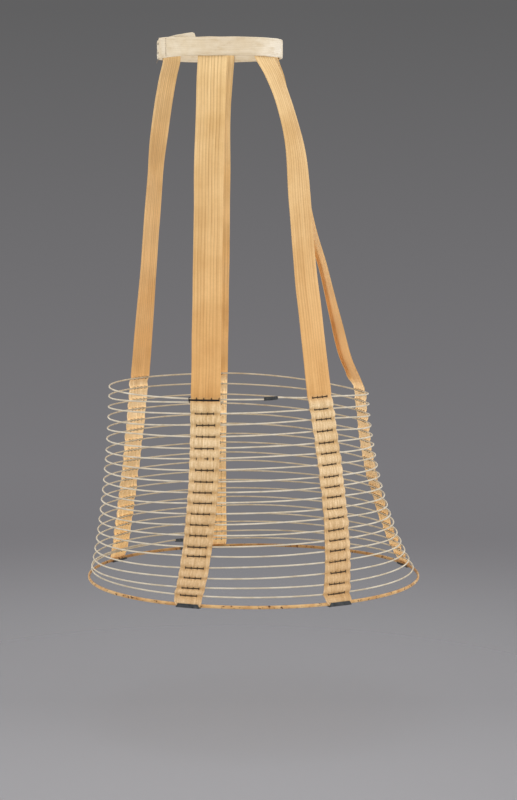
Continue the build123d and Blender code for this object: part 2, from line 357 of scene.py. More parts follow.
bandLook = {
    "creaseScale": (260, 30, 1),
    "tones": [(0.27, (0.54, 0.415, 0.255)), (0.45, (0.68, 0.575, 0.42)), (0.72, (0.76, 0.665, 0.515))],
    "yellowScale": 24.0, "yellowing": [(0.33, (0.93, 0.88, 0.78)), (0.62, (1.02, 1.02, 1.02))],
    # along its length: darker beside the front left tape, and a painted highlight over the hip
    "alongDarkAndHighlight": [
        (0.10, 1.0), (0.17, (0.93, 0.915, 0.90)), (0.215, (0.885, 0.86, 0.83)),
        (0.25, (0.96, 0.97, 1.0)), (0.285, (1.05, 1.10, 1.21)), (0.40, (1.0, 1.02, 1.05)),
    ],
    "thread": 0.00055, "waver": 0.3,
    "weave": [(0.15, (0.90, 0.89, 0.87)), (0.85, (1.02, 1.02, 1.02))],
}


def bandFinish(name):
    f = Finish(name, roughness=0.9, sheen=0.15, gloss=0.12)
    look = bandLook
    # the tone follows the crease noise that is also the bump: painted shade in the crease hollows, painted
    # highlight on their ridges
    crease = f.noise(f.place("UV", look["creaseScale"]), 1.0, 5.0, 0.6)
    yellow = f.ramp(f.noise(f.place("Object"), look["yellowScale"], 3.0), look["yellowing"])
    # darker beside the front left tape, and a painted highlight over the hip
    darkAndHighlight = f.ramp(f.math("DIVIDE", f.axis("UV", "Y"), cage["bandLength"]), look["alongDarkAndHighlight"])
    toned = f.tint(f.tint(f.ramp(crease, look["tones"]), yellow), darkAndHighlight)
    warp = f.threads(f.place("UV"), look["thread"], "X", look["waver"])
    weft = f.threads(f.place("UV"), look["thread"], "Y", look["waver"])
    weave = f.math("MAXIMUM", warp, weft)
    f.colour(f.tint(toned, f.ramp(weave, look["weave"])))
    f.bump(f.math("ADD", f.math("MULTIPLY", crease, 3.0), f.math("MULTIPLY", weave, 0.25)), 0.6, 0.0005)
    return f.material


# around: the girth of the cover; inner: tint of the side that faced the wearer
# specks: where in its noise rust starts to show, 1 for none
braidLooks = {
    "wireBraid": {
        "around": 0.00704, "spacing": 0.0011, "specks": 1.0, "inner": (0.86, 0.80, 0.71),
        "deep": (0.49, 0.405, 0.285), "pale": (0.62, 0.55, 0.43), "slip": (0.71, 0.65, 0.54),
    },
    "hemBraid": {
        "around": 0.01508, "spacing": 0.0016, "specks": 0.60, "inner": (0.66, 0.58, 0.48),
        "deep": (0.44, 0.215, 0.07), "pale": (0.63, 0.385, 0.165), "slip": (0.74, 0.53, 0.28),
    },
}
braidRust, braidAngle = (0.085, 0.024, 0.008), 0.65


def braidFinish(name):
    f = Finish(name, roughness=0.78, sheen=0.06, gloss=0.2)
    look = braidLooks[name]
    left = f.threads(f.place("UV", turn=braidAngle), look["spacing"], "X")
    right = f.threads(f.place("UV", turn=-braidAngle), look["spacing"], "X")
    braid = f.math("MAXIMUM", left, right)
    worn = f.noise(f.place("Object"), 46.0, 5.0, 0.6)
    base = f.ramp(worn, [(0.30, look["deep"]), (0.52, look["pale"]), (0.75, look["slip"])])
    toned = f.tint(base, f.ramp(braid, [(0.25, (0.78, 0.74, 0.68)), (0.95, (1.04, 1.04, 1.04))]))
    inner = look["inner"]
    turned = f.math("DIVIDE", f.axis("UV", "X"), look["around"])
    aged = f.tint(toned, f.ramp(turned, [(0.20, plain), (0.36, inner), (0.64, inner), (0.80, plain)]))
    if look["specks"] < 1:
        spots = [(look["specks"], 0.0), (look["specks"] + 0.05, 1.0)]
        aged = f.mix(f.ramp(f.noise(f.place("Object"), 260.0, 2.0), spots), aged, braidRust)
    f.colour(aged)
    f.bump(braid, 0.5, 0.00025)
    return f.material


def threadFinish(name, tone, lit):
    f = Finish(name, roughness=0.8)
    fuzz = f.noise(f.place("Object"), 900.0, 3.0)
    f.colour(f.ramp(fuzz, [(0.35, tone), (0.70, lit)]))
    f.bump(fuzz, 0.4, 0.0002)
    return f.material


def metalFinish(name, tone, rub, rust, rough):
    f = Finish(name, roughness=rough, metallic=0.8)
    cloud = f.noise(f.place("Object"), 190.0, 5.0)
    spots = f.ramp(f.noise(f.place("Object"), 520.0, 3.0), [(0.60, 0.0), (0.72, 0.75)])
    f.colour(f.mix(spots, f.ramp(cloud, [(0.35, tone), (0.72, rub)]), rust))
    f.links.new(f.ramp(cloud, [(0.30, rough + 0.15), (0.70, rough - 0.1)]), f.shader.inputs["Roughness"])
    f.bump(cloud, 0.25, 0.0003)
    return f.material


tapeCotton = tapeFinish("tapeCotton", tapeSides["outside"])
# the inner faces' finish, with painted light that lifts their shade
tapeInside = tapeFinish("tapeInside", tapeSides["inside"])
bandCotton = bandFinish("bandCotton")
wireBraid = braidFinish("wireBraid")
hemBraid = braidFinish("hemBraid")
brownThread = threadFinish("brownThread", (0.030, 0.016, 0.006), (0.085, 0.050, 0.020))
blackThread = threadFinish("blackThread", (0.008, 0.006, 0.005), (0.024, 0.018, 0.013))
sewingThread = threadFinish("sewingThread", (0.22, 0.15, 0.085), (0.36, 0.26, 0.16))
darkSteel = metalFinish("darkSteel", (0.078, 0.084, 0.088), (0.165, 0.17, 0.172), (0.09, 0.05, 0.028), 0.5)
hookSteel = metalFinish("hookSteel", (0.07, 0.056, 0.043), (0.24, 0.20, 0.165), (0.07, 0.036, 0.018), 0.42)
print("materials: ready")

# wires: two closed hoops and the spiral between them, each a round braided cover
wire = {
    "radius": 0.00112, "flat": 1.0, "sides": 8, "stepsPerTurn": 120,
    "lapRise": 0.0023, "lapAngle": 3.0, "rampAngle": 16.0, "upperJoint": 84.0, "lowerJoint": -81.5,
    "spiralStart": 64.1, "spiralEnd": -65.1, "spiralOver": 0.36, "spiralRadius": 0.215,
}


def tube(name, path, length, rows, cover, material):
    radius, flat = cover["radius"], cover["flat"]

    def place(u, v):
        centre, face = path(v)
        a = 2 * math.pi * u
        return centre + face * (radius * flat * math.cos(a)) + Vector((0, 0, radius * math.sin(a)))
    return wrapGrid(name, cover["sides"], rows, place, (2 * math.pi * radius, length), True, material)


def closedHoop(name, joint, level):
    travel = 360 + wire["lapAngle"]

    def path(v):
        gone = travel * v
        raised = (gone - travel + wire["lapAngle"] + wire["rampAngle"]) / wire["rampAngle"]
        lift = wire["lapRise"] * ease(raised)
        azimuth = joint + wire["lapAngle"] / 2 - gone
        return turnPoint(azimuth, level) + Vector((0, 0, lift)), outward(azimuth)
    around = 2 * math.pi * bend(cage["radii"], level / lastLevel)
    return tube(name, path, around, wire["stepsPerTurn"], wire, wireBraid)


def spiralPath(v):
    travel = 360 * (cage["turns"] - 2) + wire["spiralStart"] - wire["spiralEnd"]
    azimuth = wire["spiralStart"] - travel * v
    turn = (cage["fallStart"] - azimuth) // 360
    share = fallShare(azimuth + 360 * turn)
    level = turn + share
    lift = wire["lapRise"] * share if turn == cage["turns"] - 2 else 0.0  # its end rises over the lower hoop
    return turnPoint(azimuth, level) + Vector((0, 0, lift)), outward(azimuth)


topHoop = closedHoop("topHoop", wire["upperJoint"], 0)
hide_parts("top_hoop")
lowerHoop = closedHoop("lowerHoop", wire["lowerJoint"], lastLevel)
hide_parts("lower_hoop")
spiralTurns = cage["turns"] - 2 + wire["spiralOver"]
spiralLength = spiralTurns * 2 * math.pi * wire["spiralRadius"]
spiralRows = int(spiralTurns * wire["stepsPerTurn"])
spiralWire = tube("spiralWire", spiralPath, spiralLength, spiralRows, wire, wireBraid)
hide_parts("spiral_wire")
print("wires: spiral and two hoops")

hem = {"radius": 0.0024, "flat": 0.7, "joint": -82.5, "gap": 0.4, "steps": 240, "sides": 14}


def hemPath(v):
    azimuth = hem["joint"] - hem["gap"] / 2 - (360 - hem["gap"]) * v
    return hemPoint(azimuth), outward(azimuth)


hemLength = 2 * math.pi * cage["hemRadius"]
hemHoop = tube("hemHoop", hemPath, hemLength, hem["steps"], hem, hemBraid)
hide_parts("hem_hoop")
print("hem hoop: done")

# tapes: sewn inside the band, over the hips, gathered between the stitched turns
tape = {
    "width": cage["tapeWidth"], "thick": 0.0009,
    "top": 0.009, "seat": 0.0022, "bandInside": 0.00365, "upright": 0.0044,
    "cols": 32, "rowsRun": 96, "rowsPitch": 12, "rowsHem": 8,
    "bowWaist": 0.0906, "bowGrows": 0.1024, "bowTurns": 0.215, "bowHem": 0.245,  # radii it curves round
    "twistIn": 0.07, "twistOut": 0.12,
    "looseFrom": 0.02, "looseOver": 0.06, "looseEnd": 0.05, "noiseStep": 7.3,
    "ripple": 0.0010, "rippleScale": (0.7, 8), "sway": 0.0009, "swayScale": (0.5, 17),  # across and down
}
runDrops = (0.0, 0.01325, 0.040, 0.090, 0.150, 0.230, 0.320, 0.400, 0.460)
frontRun = (0, 0, 0.12, 0.29, 0.44, 0.58, 0.71, 0.84, 0.94, 1, 1)
sideRun = (0, 0, 0.17, 0.40, 0.575, 0.65, 0.75, 0.87, 0.955, 1, 1)
backRun = (0, 0, 0.07, 0.15, 0.24, 0.372, 0.568, 0.72, 0.837, 1, 1)
# course: azimuth at the first turn, half way down the turns and at the hem
# twist: degrees, and the drops between which it shows
tapes = {
    "frontLeft": {
        "node": "front_left", "waist": 65.3, "course": (56.6, 54.6, 48.5), "run": frontRun,
        "twist": (0.0, 0.0, 0.4),
    },
    "sideLeft": {
        "node": "side_left", "waist": 110.5, "course": (106.6, 108.3, 99.2), "run": sideRun,
        "twist": (10.0, 0.01, 0.22),
    },
    "centreBack": {
        "node": "centre_back", "waist": 180.0, "course": (179.5, 179.8, 180.5), "run": backRun,
        "twist": (-8.0, 0.22, 0.45),
    },
    "sideRight": {
        "node": "side_right", "waist": -110.5, "course": (-98.0, -96.5, -95.0), "run": sideRun,
        "twist": (-10.0, 0.01, 0.22),
    },
    "frontRight": {
        "node": "front_right", "waist": -64.0, "course": (-57.6, -53.8, -51.2), "run": frontRun,
        "twist": (5.0, 0.12, 0.44),
    },
}
fold = {
    "tape": "centreBack", "lip": 0.0055, "angle": 140.0, "soft": 0.006, "steps": 16,
    "from": 0.24, "over": 0.08, "ends": 0.006, "endOver": 0.024,
}
gather = {
    "bulge": 0.0019, "round": 0.8, "slack": (0.7, 1.3), "lean": (-0.3, 0.3), "curl": (-0.0004, 0.0007),
    "pitch": 0.0152, "pucker": 0.00042, "stitchStep": 0.00867,
    "puckerDown": 0.0035, "puckerAcross": 0.0155, "puckerFade": 0.003,
    "wrinkle": 0.0003, "wrinkles": 11, "wrinkleStep": 2.1, "spread": 0.034, "spreadAt": 0.6,
}
hemEnd = {
    "out": 0.0031, "up": -0.0020, "width": 0.98, "narrow": 0.03,
    "pinch": 0.13, "pinchFrom": 0.55, "pinchOver": 0.45, "pleats": 0.0006, "pleatCount": 4, "puff": 0.0012,
}


def firstDrop(layout):
    return -turnPoint(layout["course"][0], 0).z


def bowOver(radius):
    return tape["width"] ** 2 / 8 / radius


def runShare(layout, drop):
    # a smooth curve through the shares of the run
    knots = runDrops + (firstDrop(layout) - tape["upright"], firstDrop(layout))
    values = layout["run"]
    i = max(n for n in range(len(knots) - 1) if n == 0 or knots[n] <= drop)
    gap = knots[i + 1] - knots[i]
    t = (drop - knots[i]) / gap
    before, after = max(i - 1, 0), min(i + 2, len(knots) - 1)
    enter = (values[i + 1] - values[before]) / (knots[i + 1] - knots[before]) * gap
    leave = (values[after] - values[i]) / (knots[after] - knots[i]) * gap
    return (
        (2 * t ** 3 - 3 * t * t + 1) * values[i] + (t ** 3 - 2 * t * t + t) * enter
        + (3 * t * t - 2 * t ** 3) * values[i + 1] + (t ** 3 - t * t) * leave
    )


def seatLevel(layout, turn):
    # the height, in turns, at which the wire crosses a tape, and the tape's azimuth there
    azimuth = bend(layout["course"], turn / lastLevel)
    inside = ease(turn) * ease(lastLevel - turn)
    if abs(azimuth) < cage["fallStart"]:
        return turn + inside * ((fallShare(azimuth) + 0.5) % 1 - 0.5), azimuth
    return turn, azimuth


def tapeFrame(layout, drop, turn):
    # the tape's middle, facing and cross bow: on the run by drop, below the first wire by turn
    if turn < 0:
        low, face = waistPoint(layout["waist"], tape["bandInside"])
        waistFacing = math.degrees(math.atan2(face.x, -face.y))
        share = runShare(layout, max(drop, 0))
        twist, starts, ends = layout["twist"]
        bump = ease((drop - starts) / tape["twistIn"]) * ease((ends - drop) / tape["twistOut"])
        swing = (layout["course"][0] - waistFacing + 180) % 360 - 180
        facing = waistFacing + swing * share ** 2 + twist * bump
        high = turnPoint(layout["course"][0], 0, tape["seat"])
        middle = low.lerp(Vector((high.x, high.y, 0)), share)
        bow = bowOver(tape["bowWaist"] + tape["bowGrows"] * share)
        return Vector((middle.x, middle.y, -drop)), facing, bow
    if turn <= lastLevel:
        level, facing = seatLevel(layout, turn)
        return turnPoint(facing, level, tape["seat"]), facing, bowOver(tape["bowTurns"])
    facing = layout["course"][2]
    start = turnPoint(facing, lastLevel, tape["seat"])
    end = hemPoint(facing, hemEnd["out"], hemEnd["up"])
    return start.lerp(end, turn - lastLevel), facing, bowOver(tape["bowHem"])


def tapeRow(layout, v):
    # the drop of a row on the run, or the turn of a row below it
    row = v * tapeRows
    if row < tape["rowsRun"]:
        return -tape["top"] + (firstDrop(layout) + tape["top"]) * row / tape["rowsRun"], -1.0
    row -= tape["rowsRun"]
    if row <= tape["rowsPitch"] * lastLevel:
        return 0.0, row / tape["rowsPitch"]
    return 0.0, lastLevel + (row - tape["rowsPitch"] * lastLevel) / tape["rowsHem"]


def foldedSection(across, amount):
    # across the back tape: flat, then a soft fold, then the lip turned in; +1 is its far edge
    half, steps = tape["width"] / 2, fold["steps"]
    start = half - fold["lip"] - fold["soft"] / 2
    reach, out = across * half, 0.0
    if reach > start:
        length = reach - start
        reach = start
        for i in range(steps):
            gone = length * (i + 0.5) / steps
            angle = math.radians(fold["angle"]) * amount * min(gone / fold["soft"], 1)
            reach += length / steps * math.cos(angle)
            out -= length / steps * math.sin(angle)
    return reach, out


def tapePlace(name, layout):
    random.seed(name)
    count = cage["turns"] + 1
    slack, lean, curl = (
        [random.uniform(*gather[kind]) for _ in range(count)] for kind in ("slack", "lean", "curl")
    )
    seed = tape["noiseStep"] * len(name)
    lowest = firstDrop(layout)

    def place(u, v):
        drop, turn = tapeRow(layout, v)
        middle, facing, bow = tapeFrame(layout, drop, turn)
        across = 2 * u - 1
        reach, out = across * tape["width"] / 2, -bow * across * across
        if turn < 0:
            begun = ease((drop - fold["from"]) / fold["over"])
            amount = begun * ease((lowest - fold["ends"] - drop) / fold["endOver"])
            if amount and name == fold["tape"]:
                reach, turned = foldedSection(across, amount)
                out = turned + out * (1 - amount)
            loose = ease((drop - tape["looseFrom"]) / tape["looseOver"])
            loose *= ease((lowest - drop) / tape["looseEnd"])
            wide, far = tape["rippleScale"]
            out += tape["ripple"] * loose * noise.noise(Vector((across * wide, drop * far, seed)))
            wide, far = tape["swayScale"]
            reach += tape["sway"] * loose * noise.noise(Vector((across * wide, drop * far, seed + 5)))
        elif turn <= lastLevel:
            n = min(int(turn), lastLevel - 1)
            part = turn - n
            swell = math.sin(math.pi * part) ** gather["round"] if 0 < part < 1 else 0.0
            puff = gather["bulge"] * slack[n] * swell * (1 + lean[n] * across)
            out += puff + curl[n] * swell * across * across
            near = min(part, 1 - part) * gather["pitch"]
            held = ease((gather["puckerAcross"] - abs(reach)) / gather["puckerFade"])
            pull = math.exp(-(near / gather["puckerDown"]) ** 2) * held
            out -= gather["pucker"] * pull * math.cos(2 * math.pi * (reach / gather["stitchStep"] + 0.5))
            phase = across * gather["wrinkles"] + gather["wrinkleStep"] * n
            out += gather["wrinkle"] * swell * math.sin(phase)
            reach *= 1 + gather["spread"] * (swell - gather["spreadAt"])
        else:
            share = turn - lastLevel
            pinch = hemEnd["pinch"] * ease((share - hemEnd["pinchFrom"]) / hemEnd["pinchOver"])
            reach *= hemEnd["width"] - hemEnd["narrow"] * share - pinch
            swell = math.sin(math.pi * share)
            pleats = hemEnd["pleats"] * swell * math.cos(2 * math.pi * hemEnd["pleatCount"] * u)
            out += pleats + hemEnd["puff"] * swell
        return middle + along(facing) * reach + outward(facing) * out
    return place


tapeRows = tape["rowsRun"] + tape["rowsPitch"] * lastLevel + tape["rowsHem"]
tapeSize = (tape["width"], cage["tapeLength"])
for name, layout in tapes.items():
    place = tapePlace(name, layout)
    piece = wrapGrid(name + "Tape", tape["cols"], tapeRows, place, tapeSize, False, tapeCotton)
    if piece.data.polygons[0].normal.dot(outward(layout["waist"])) < 0:
        piece.data.flip_normals()
    piece.data.materials.append(tapeInside)
    thicken(piece, tape["thick"], inside=1)
    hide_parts(layout["node"] + "_tape")
print("tapes:", len(tapes))

# stitching: each turn is whipped to the tape, a dark doubled bar outside with short ticks,
# and thin wraps over the wire inside
stitch = {
    "length": 0.026, "wraps": 4, "radius": 0.00052, "strand": 0.00036, "slope": 0.03,
    "outside": 0.00105, "inside": -0.0038, "tick": 0.0020, "tickUp": 0.8,
    "girth": 1.2, "thin": 0.26, "entry": 0.0001, "halfWay": 0.58, "overWire": 0.0018, "roundWire": 0.0013,
    "dip": 0.0001, "dipLift": 0.7,
    "slopes": (0.2, 1.6), "lengths": (0.94, 1.05), "ticks": (0.85, 1.1), "shifts": (-0.0012, 0.0012),
    "worn": ("frontLeft", 5), "wornWraps": (0, 2, 3), "wornBar": (-0.0005, 0.0055, 0.0002),
}
lapThread = {
    "at": ("frontLeft", 0), "length": 0.044, "wraps": 5, "radius": 0.00075, "shift": -0.002, "slope": 0.012,
    "strands": (-0.0007, -0.0018), "strandOut": 0.0002, "strandSteps": 12, "wrapOut": 0.0004, "girth": 0.7,
}


def stitchPoints(layout, turn, slope):
    # a function for points on the tape at one turn: across, out of the cloth, up, and the thread's girth
    middle, facing, bow = tapeFrame(layout, 0.0, turn)
    face, side = outward(facing), along(facing)

    def at(across, out, lift, girth=1.0):
        curve = bow * (2 * across / tape["width"]) ** 2
        return middle + side * across + face * (out - curve) + Vector((0, 0, lift + slope * across)), girth
    return at


def wrapRound(at, x, top, bottom):
    # once round the wire, from the front of the cloth to the back and out again
    out, deep, girth, thin = stitch["outside"], stitch["inside"], stitch["girth"], stitch["thin"]
    half, over, close = deep * stitch["halfWay"], stitch["overWire"], stitch["roundWire"]
    return [
        at(x, out, 0, girth), at(x, out, top, girth), at(x, 0.0, top + stitch["entry"]),
        at(x, half, over, thin), at(x, deep, close, thin),
        at(x, deep, -close, thin), at(x, half, -over, thin),
        at(x, 0.0, bottom - stitch["entry"]), at(x, out, bottom, girth), at(x, out, 0, girth),
    ]


def barRun(at, start, end, lift):
    # one strand laid along the outside, dipping a little at every wrap
    count = 3 * (stitch["wraps"] - 1)
    points = []
    for i in range(count + 1):
        dip, share = (stitch["dip"], 1) if i % 3 else (-stitch["dip"], stitch["dipLift"])
        points.append(at(start + (end - start) * i / count, stitch["outside"] + dip, lift * share))
    return points


def lapWrap(at, x):
    # once round the two wires that lie together here
    out, deep = stitch["outside"] + lapThread["wrapOut"], stitch["inside"] - lapThread["wrapOut"]
    girth = lapThread["girth"]
    return [
        at(x, out, -0.0016), at(x, out, 0.0008), at(x, out, 0.0018, 0.8), at(x, 0.0, 0.0022, girth),
        at(x, deep * 0.55, 0.0024, girth), at(x, deep, 0.001, girth), at(x, deep, -0.004, girth),
        at(x, deep * 0.5, -0.0056, girth), at(x, 0.0, -0.0036, girth),
        at(x, stitch["outside"], -0.0024), at(x, out, -0.0016),
    ]


for name, layout in tapes.items():
    runs = []
    for turn in range(cage["turns"]):
        if (name, turn) == lapThread["at"]:
            continue
        random.seed(f"{name}{turn}")
        at = stitchPoints(layout, turn, stitch["slope"] * random.uniform(*stitch["slopes"]))
        spread = stitch["length"] * random.uniform(*stitch["lengths"])
        tick = stitch["tick"] * random.uniform(*stitch["ticks"])
        shift = random.uniform(*stitch["shifts"])
        spots = [shift + spread * (i / (stitch["wraps"] - 1) - 0.5) for i in range(stitch["wraps"])]
        if (name, turn) == stitch["worn"]:  # most of its bar is gone
            start, end, lift = stitch["wornBar"]
            runs += [wrapRound(at, spots[i], tick * stitch["tickUp"], -tick) for i in stitch["wornWraps"]]
            runs.append(barRun(at, shift + start, shift + end, lift))
            continue
        runs += [wrapRound(at, x, tick * stitch["tickUp"], -tick) for x in spots]
        runs += [barRun(at, spots[0], spots[-1], lift) for lift in (stitch["strand"], -stitch["strand"])]
    row = threadRun(name + "Stitching", runs, stitch["radius"], brownThread)
    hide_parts(layout["node"] + "_stitching")


def lapSpot(share):
    return lapThread["shift"] + lapThread["length"] * (share - 0.5)


lapTape, lapTurn = lapThread["at"]
at = stitchPoints(tapes[lapTape], lapTurn, lapThread["slope"])
lapOut, lapSteps = stitch["outside"] + lapThread["strandOut"], lapThread["strandSteps"]
lapRuns = []
for lift in lapThread["strands"]:
    lapRuns.append([at(lapSpot(i / lapSteps), lapOut, lift) for i in range(lapSteps + 1)])
lapRuns += [lapWrap(at, lapSpot(i / (lapThread["wraps"] - 1))) for i in range(lapThread["wraps"])]
binding = threadRun("lapBinding", lapRuns, lapThread["radius"], blackThread)
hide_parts("lap_binding")
print("stitching: done")

# waistband: a doubled strip round the waist, its right end carried on under the left
band = {
    "flat": (0.0275, cage["bandLength"]), "girth": 0.0578, "rows": 320, "around": 36,
    "height": 0.0265, "endHeight": 0.030, "endAngle": 60.0,
    "thick": 0.0024, "squareUp": 0.35, "squareDeep": 0.6,
    "outerEnd": -4.0, "underlap": 51.0, "shift": (-46.0, -12.0), "depth": 0.0052,
    "rise": 0.0066, "riseOver": 54, "slant": 2.6, "slantFrom": 385, "slantOver": 20,
    "tipDip": 0.0022, "tipAngle": 5, "tipOver": 4,
    "settle": 0.0011, "settleFrom": 15, "settleTo": 330, "settleOver": 60,
    "crease": 0.0006, "creaseFade": 0.9, "rim": 0.0004, "rimScale": 40,
    "creases": ((190, 24, 0.3, 1.0), (420, 60, 4.1, 0.5)),  # scale up and along, place in the noise, share
}


def bandTall(azimuth):
    share = ease((azimuth - band["outerEnd"]) / band["endAngle"])
    return band["endHeight"] + (band["height"] - band["endHeight"]) * share


def bandPlace(u, v):
    a = 2 * math.pi * u
    azimuth = band["outerEnd"] + (360 + band["underlap"] - band["outerEnd"]) * v
    up = rounded(math.sin(a), band["squareUp"])
    azimuth -= band["slant"] * up * ease((azimuth - band["slantFrom"]) / band["slantOver"])
    tall = up * bandTall(azimuth) / 2
    deep = rounded(math.cos(a), band["squareDeep"]) * band["thick"] / 2
    # the underlap goes in and rises, its upper corner dips, and the band has settled at the sides and back
    first, last = band["shift"]
    inward = band["depth"] * ease((azimuth - 360 - first) / (last - first))
    rise = band["rise"] * max(azimuth - 360 - band["outerEnd"], 0) / band["riseOver"]
    tip = ease((azimuth - 360 - band["underlap"] + band["tipAngle"]) / band["tipOver"])
    rise -= band["tipDip"] * tip * max(up, 0)
    settled = band["settle"] * ease((azimuth - band["settleFrom"]) / band["settleOver"])
    rise -= settled * ease((band["settleTo"] - azimuth) / band["settleOver"])
    point, face = waistPoint(azimuth, inward + band["thick"] / 2)
    crease = 0.0
    for high, far, spot, share in band["creases"]:
        crease += share * noise.noise(Vector((tall * high, v * far, spot)))
    crease *= band["crease"] * math.cos(math.pi * tall / bandTall(azimuth) * band["creaseFade"])
    rim = band["rim"] * noise.noise(Vector((v * band["rimScale"], up, 2.0)))
    return point + face * (deep + crease) + Vector((0, 0, tall + rise + rim))


bandSize = (band["girth"], cage["bandLength"])
waistband = wrapGrid("waistbandCloth", band["around"], band["rows"], bandPlace, bandSize, True, bandCotton)
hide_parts("waistband")

# a row of sewing across the outer end, and the thread end that hangs there
seam = {
    "azimuth": 15.0, "half": 0.0125, "stitch": 0.0019, "gap": 0.0005, "radius": 0.00027,
    "lean": 0.0003, "leanRate": 900, "shape": ((0, -0.0004), (0.2, 0.0006), (0.8, 0.0006), (1, -0.0004)),
    "endDepth": 0.0012,
    "end": (
        (0.0, 0.0, -0.0135), (-0.002, 0.001, -0.0165),
        (-0.0036, 0.0025, -0.0180), (-0.0030, 0.0032, -0.0215),
    ),
}
seamRuns = []
point, face = waistPoint(seam["azimuth"], 0.0)
z = -seam["half"]
while z < seam["half"]:
    foot = point + along(seam["azimuth"]) * seam["lean"] * math.sin(seam["leanRate"] * z)
    rises = [(z + seam["stitch"] * share, out) for share, out in seam["shape"]]
    seamRuns.append([(foot + face * out + Vector((0, 0, rise)), 1.0) for rise, out in rises])
    z += seam["stitch"] + seam["gap"]
point, face = waistPoint(band["outerEnd"], seam["endDepth"])
side = along(band["outerEnd"])
seamRuns.append([(point + side * x + face * out + Vector((0, 0, z)), 1.0) for x, out, z in seam["end"]])
seamRow = threadRun("endSeam", seamRuns, seam["radius"], sewingThread, rounding=1)
print("waistband: done")

# hooks sewn under the band's outer end, and the eyes they hold on the underlap
# loop, bend, end and eye: along the band and into it, loop and eye also half the height
hook = {
    "rows": (0.0065, -0.0065), "wire": 0.00045, "pair": 0.0009, "tip": 0.7, "step": 7.4, "eyeWire": 0.0004,
    "loop": ((0.0072, 0.0007, 0.0024), (0.0092, 0.0007, 0.0034), (0.0106, 0.0007, 0.0022)),
    "bend": (
        (0.0096, 0.0007), (0.0060, 0.0007), (0.0004, 0.0007), (-0.0022, -0.0004), (-0.0046, -0.0016),
        (-0.0060, -0.0020), (-0.0066, -0.0008), (-0.0054, 0.0012), (-0.0022, 0.0019),
    ),
    "end": (0.0002, 0.0019),
    "eye": (
        (-0.0010, 0.0024, 0.0036), (-0.0018, 0.0020, 0.0034),
        (-0.0022, 0.0014, 0.0030), (-0.0023, 0.0014, 0.0010),
    ),
}
endPoint, _ = waistPoint(band["outerEnd"], band["thick"])
nextPoint, _ = waistPoint(band["outerEnd"] + hook["step"], band["thick"])
endSide = (nextPoint - endPoint).normalized()
endInward = Vector((-endSide.y, endSide.x, 0))


def onHook(x, deep, z):
    return endPoint + endSide * x + endInward * deep + Vector((0, 0, z)), 1.0


def bothHalves(points, z, first):
    # along one half and back along its mirror image; first is 1 to begin above, -1 below
    there = [onHook(x, deep, z + first * half) for x, deep, half in points]
    return there + [onHook(x, deep, z - first * half) for x, deep, half in reversed(points)]


hookHalf = list(hook["loop"]) + [(x, deep, hook["pair"]) for x, deep in hook["bend"]]
hookHalf.append((*hook["end"], hook["pair"] * hook["tip"]))
hookRuns = [bothHalves(hookHalf, z, 1) for z in hook["rows"]]
eyeRuns = [bothHalves(hook["eye"], z, -1) for z in hook["rows"]]
hooks = threadRun("frontHooks", hookRuns, hook["wire"], hookSteel, steps=5)
eyes = threadRun("frontEyes", eyeRuns, hook["eyeWire"], hookSteel, steps=5)
for piece, node in ((hooks, "front_hooks"), (eyes, "front_eyes")):
    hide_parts(node)
print("hooks and eyes: done")

# hem clips: folded sheet closed over the hoop and the tape's gathered end
clip = {
    "length": 0.036, "height": 0.0055, "lip": 0.0027, "sheet": 0.0007, "girth": 0.022,
    "out": 0.0042, "inner": 0.0031, "drop": 0.0031, "taper": 0.0030, "taperCurve": 1.4, "pinch": 0.0005,
    "dents": 3, "dentShare": 0.5, "cols": 24, "rows": 18, "bend": 0.0009, "bendSegments": 3, "bendAngle": 50,
}


def clipPlace(layout):
    azimuth = layout["course"][2]
    face, side, root = outward(azimuth), along(azimuth), hemPoint(azimuth)

    def place(u, v):
        # round the U from the outer edge, under the hoop, to the short inner lip
        part = u * 3
        if part <= 1:
            out, up = clip["out"], clip["height"] * (1 - part)
        elif part <= 2:
            out, up = clip["out"] - (clip["out"] + clip["inner"]) * (part - 1), 0.0
        else:
            out, up = -clip["inner"], clip["lip"] * (part - 2)
        rise = up / clip["height"]
        dent = 1 + clip["dentShare"] * math.cos(2 * math.pi * clip["dents"] * v)
        out -= math.copysign(clip["pinch"] * rise ** 2, out) * dent
        half = clip["length"] / 2 - clip["taper"] * rise ** clip["taperCurve"]
        return root + face * out + side * (half * (2 * v - 1)) + Vector((0, 0, up - clip["drop"]))
    return place


clipSize = (clip["girth"], clip["length"])
for name, layout in tapes.items():
    place = clipPlace(layout)
    piece = wrapGrid(name + "Clip", clip["cols"], clip["rows"], place, clipSize, False, darkSteel)
    soft = piece.modifiers.new("foldedEdge", "BEVEL")
    soft.width = clip["bend"]
    soft.segments = clip["bendSegments"]
    soft.angle_limit = math.radians(clip["bendAngle"])
    thicken(piece, clip["sheet"])
    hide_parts(layout["node"] + "_clip")

